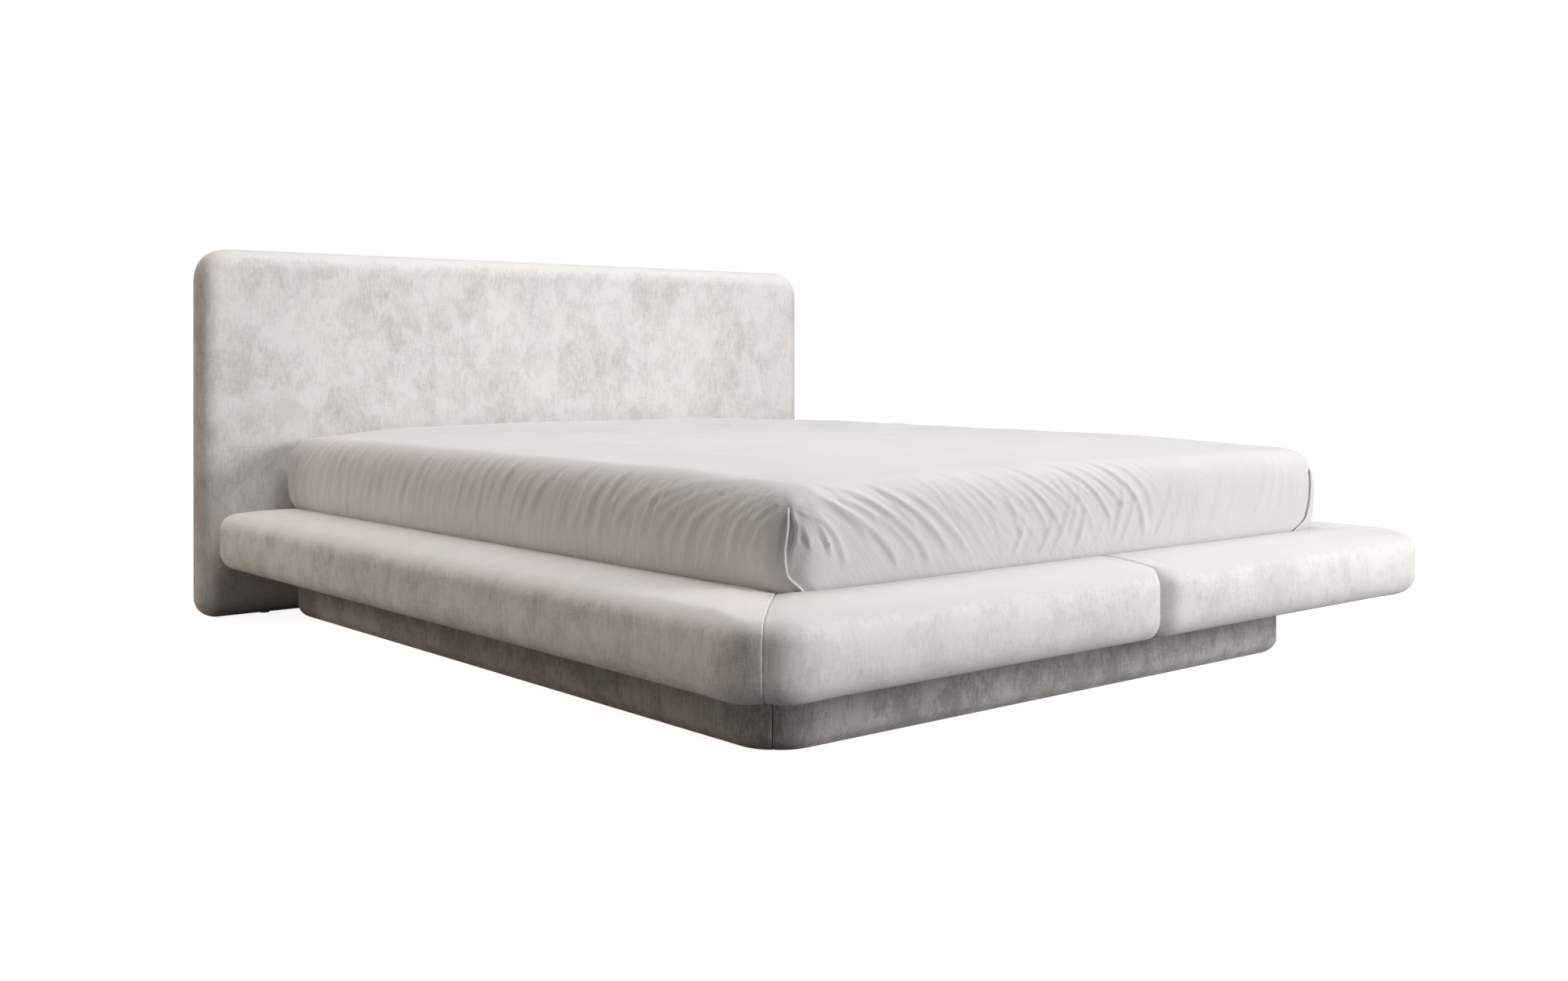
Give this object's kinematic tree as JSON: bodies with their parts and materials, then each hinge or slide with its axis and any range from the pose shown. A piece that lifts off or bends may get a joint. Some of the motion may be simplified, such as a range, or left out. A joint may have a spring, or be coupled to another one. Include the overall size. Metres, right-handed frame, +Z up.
{
  "type": "upholstered bed",
  "caption": "Upholstered platform bed with a padded headboard, wide rounded rails split at the foot, a recessed padded plinth and a mattress in a fitted sheet.",
  "frame": {"origin": "on the floor, at the middle of the bed's overall width and length", "axes": "+Z up, +Y from the foot to the headboard, +X to the right seen from the foot"},
  "size_m": [1.972, 2.272, 0.934],
  "materials": {
    "velvet": "matte",
    "sheet_cotton": "matte",
    "ticking": "matte",
    "back_cloth": "matte",
    "pine": "satin",
    "plywood": "matte",
    "zinc_steel": "satin",
    "glide_plastic": "matte"
  },
  "bodies": {
    "root": {"bearer_01": "pine", "bearer_02": "pine", "bearer_03": "pine", "centre_leg": "pine", "centre_rail": "pine", "corner_angle_left": "zinc_steel", "corner_angle_right": "zinc_steel", "fitted_sheet": "sheet_cotton", "foot_frame_left": "plywood", "foot_frame_right": "plywood", "foot_joining_plate": "zinc_steel", "foot_pad_left": "velvet", "foot_pad_right": "velvet", "head_rail": "pine", "headboard_back_panel": "back_cloth", "headboard_bolt_1": "zinc_steel", "headboard_bolt_2": "zinc_steel", "headboard_bolt_3": "zinc_steel", "headboard_bolt_4": "zinc_steel", "headboard_cover": "velvet", "headboard_facing": "plywood", "headboard_glide_left": "glide_plastic", "headboard_glide_right": "glide_plastic", "headboard_rail_bottom": "pine", "headboard_rail_middle": "pine", "headboard_rail_top": "pine", "headboard_stile_left": "pine", "headboard_stile_right": "pine", "joining_bolt_left": "zinc_steel", "joining_bolt_right": "zinc_steel", "ledger_left": "pine", "ledger_right": "pine", "mattress": "ticking", "plinth_board_front": "plywood", "plinth_board_left": "plywood", "plinth_board_rear": "plywood", "plinth_board_right": "plywood", "plinth_cover_front": "velvet", "plinth_cover_left": "velvet", "plinth_cover_right": "velvet", "plinth_post_front_left": "pine", "plinth_post_front_right": "pine", "plinth_post_rear_left": "pine", "plinth_post_rear_right": "pine", "side_frame_left": "plywood", "side_frame_right": "plywood", "side_pad_left": "velvet", "side_pad_right": "velvet", "slat_01": "pine", "slat_02": "pine", "slat_03": "pine", "slat_04": "pine", "slat_05": "pine", "slat_06": "pine", "slat_07": "pine", "slat_08": "pine", "slat_09": "pine", "slat_10": "pine", "slat_11": "pine"}
  },
  "joints": []
}
